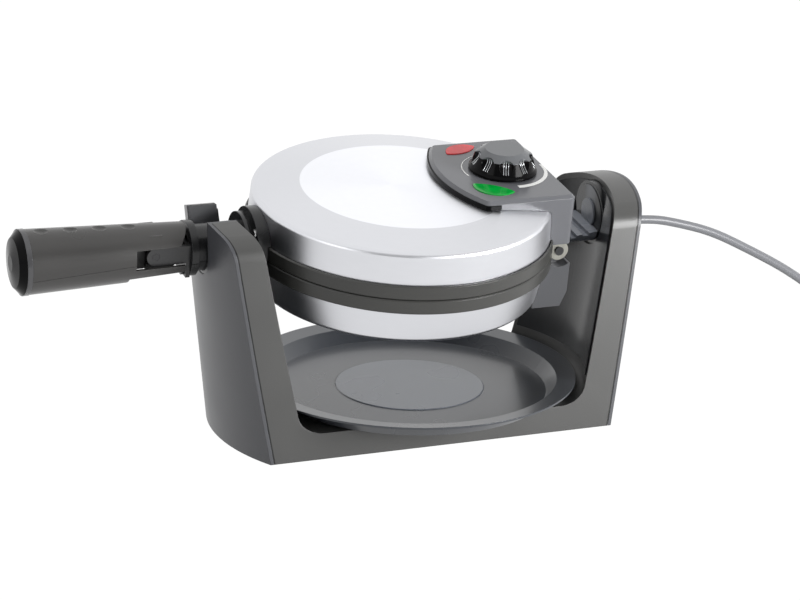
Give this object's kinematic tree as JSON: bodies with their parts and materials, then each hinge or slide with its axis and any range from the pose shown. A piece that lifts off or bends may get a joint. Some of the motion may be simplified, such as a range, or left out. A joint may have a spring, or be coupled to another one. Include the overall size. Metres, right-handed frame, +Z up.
{
  "type": "rotating waffle maker",
  "caption": "Round waffle maker whose head turns over between the towers of a U-shaped stand, with a hinged lid, control knob, folding grip, drip tray and mains cord.",
  "frame": {"origin": "on the table, midway between the towers and on the turning axis' plane", "axes": "+X along the turning axis towards the cord, -Y to the front, +Z up"},
  "size_m": [0.8762, 0.2338, 0.1955],
  "materials": {
    "stand_plastic": "satin moulded",
    "cover_plastic": "satin moulded",
    "panel_plastic": "gloss",
    "dark_plastic": "satin",
    "rubber": "matt",
    "cord_rubber": "satin",
    "nickel_pins": "plated",
    "zinc_steel": "plated",
    "tray_coating": "dark non-stick coating",
    "shell_steel": "brushed",
    "ring_plastic": "satin",
    "plate_coating": "non-stick coating",
    "element_steel": "oxidised",
    "journal_metal": "cast, satin",
    "fork_metal": "cast, satin",
    "box_plastic": "satin",
    "black_gloss": "gloss",
    "red_lens": "clear red lens",
    "green_lens": "clear green lens",
    "knob_grey": "satin",
    "grip_plastic": "satin moulded",
    "bright_ring": "bright"
  },
  "bodies": {
    "stand": {"stand_frame": "stand_plastic", "left_cover": "cover_plastic", "right_cover": "cover_plastic", "left_inner_panel": "panel_plastic", "right_inner_panel": "panel_plastic", "base_plate": "dark_plastic", "rubber_feet": "rubber", "base_screws": "zinc_steel", "left_saddle": "dark_plastic", "right_bush": "dark_plastic", "cord_gland": "cord_rubber", "mains_cord": "cord_rubber", "cord_coil": "cord_rubber", "plug_lead": "cord_rubber", "plug_body": "cord_rubber", "plug_pins": "nickel_pins"},
    "tray": {"drip_tray": "tray_coating"},
    "lower_head": {"lower_shell": "shell_steel", "lower_ring": "ring_plastic", "lower_plate": "plate_coating", "lower_element": "element_steel", "lower_plate_screws": "zinc_steel", "hinge_block": "dark_plastic", "hinge_pins": "zinc_steel", "right_journal": "journal_metal", "flange_screws": "zinc_steel", "drum_clip": "zinc_steel", "lower_journal": "dark_plastic", "lower_rivets": "zinc_steel", "grip_fork": "fork_metal", "fork_screws": "zinc_steel"},
    "lid": {"upper_shell": "shell_steel", "upper_ring": "ring_plastic", "upper_plate": "plate_coating", "upper_element": "element_steel", "upper_plate_screws": "zinc_steel", "lid_bracket": "fork_metal", "upper_journal": "dark_plastic", "upper_rivets": "zinc_steel", "control_box": "box_plastic", "control_trim": "black_gloss", "power_lamp": "red_lens", "ready_lamp": "green_lens", "thermostat": "element_steel"},
    "knob": {"knob_body": "black_gloss", "knob_cap": "knob_grey", "knob_shaft": "zinc_steel"},
    "grip": {"grip_upper_shell": "grip_plastic", "grip_lower_shell": "grip_plastic", "grip_pins": "zinc_steel", "grip_screws": "zinc_steel", "grip_end_ring": "bright_ring", "grip_end_cap": "black_gloss"}
  },
  "joints": [
    {"name": "head_spin", "type": "hinge", "parent": "stand", "child": "lower_head", "pos_m": [0, 0, 0.1395], "axis": [-1, 0, 0], "range_deg": [-172, 8]},
    {"name": "lid_hinge", "type": "hinge", "parent": "lower_head", "child": "lid", "pos_m": [0.089, 0.00053, 0.13574], "axis": [0, 0.9903, 0.1392], "range_deg": [0, 58]},
    {"name": "knob_turn", "type": "hinge", "parent": "lid", "child": "knob", "pos_m": [0.063, -0.00557, 0.17911], "axis": [0, -0.1392, 0.9903], "range_deg": [-150, 150]},
    {"name": "grip_fold", "type": "hinge", "parent": "lower_head", "child": "grip", "pos_m": [-0.1924, -0.00028, 0.14148], "axis": [0, -0.9903, -0.1392], "range_deg": [0, 90]},
    {"name": "tray_lift", "type": "slide", "parent": "stand", "child": "tray", "axis": [0, 0, 1], "range_m": [0, 0.045]}
  ]
}
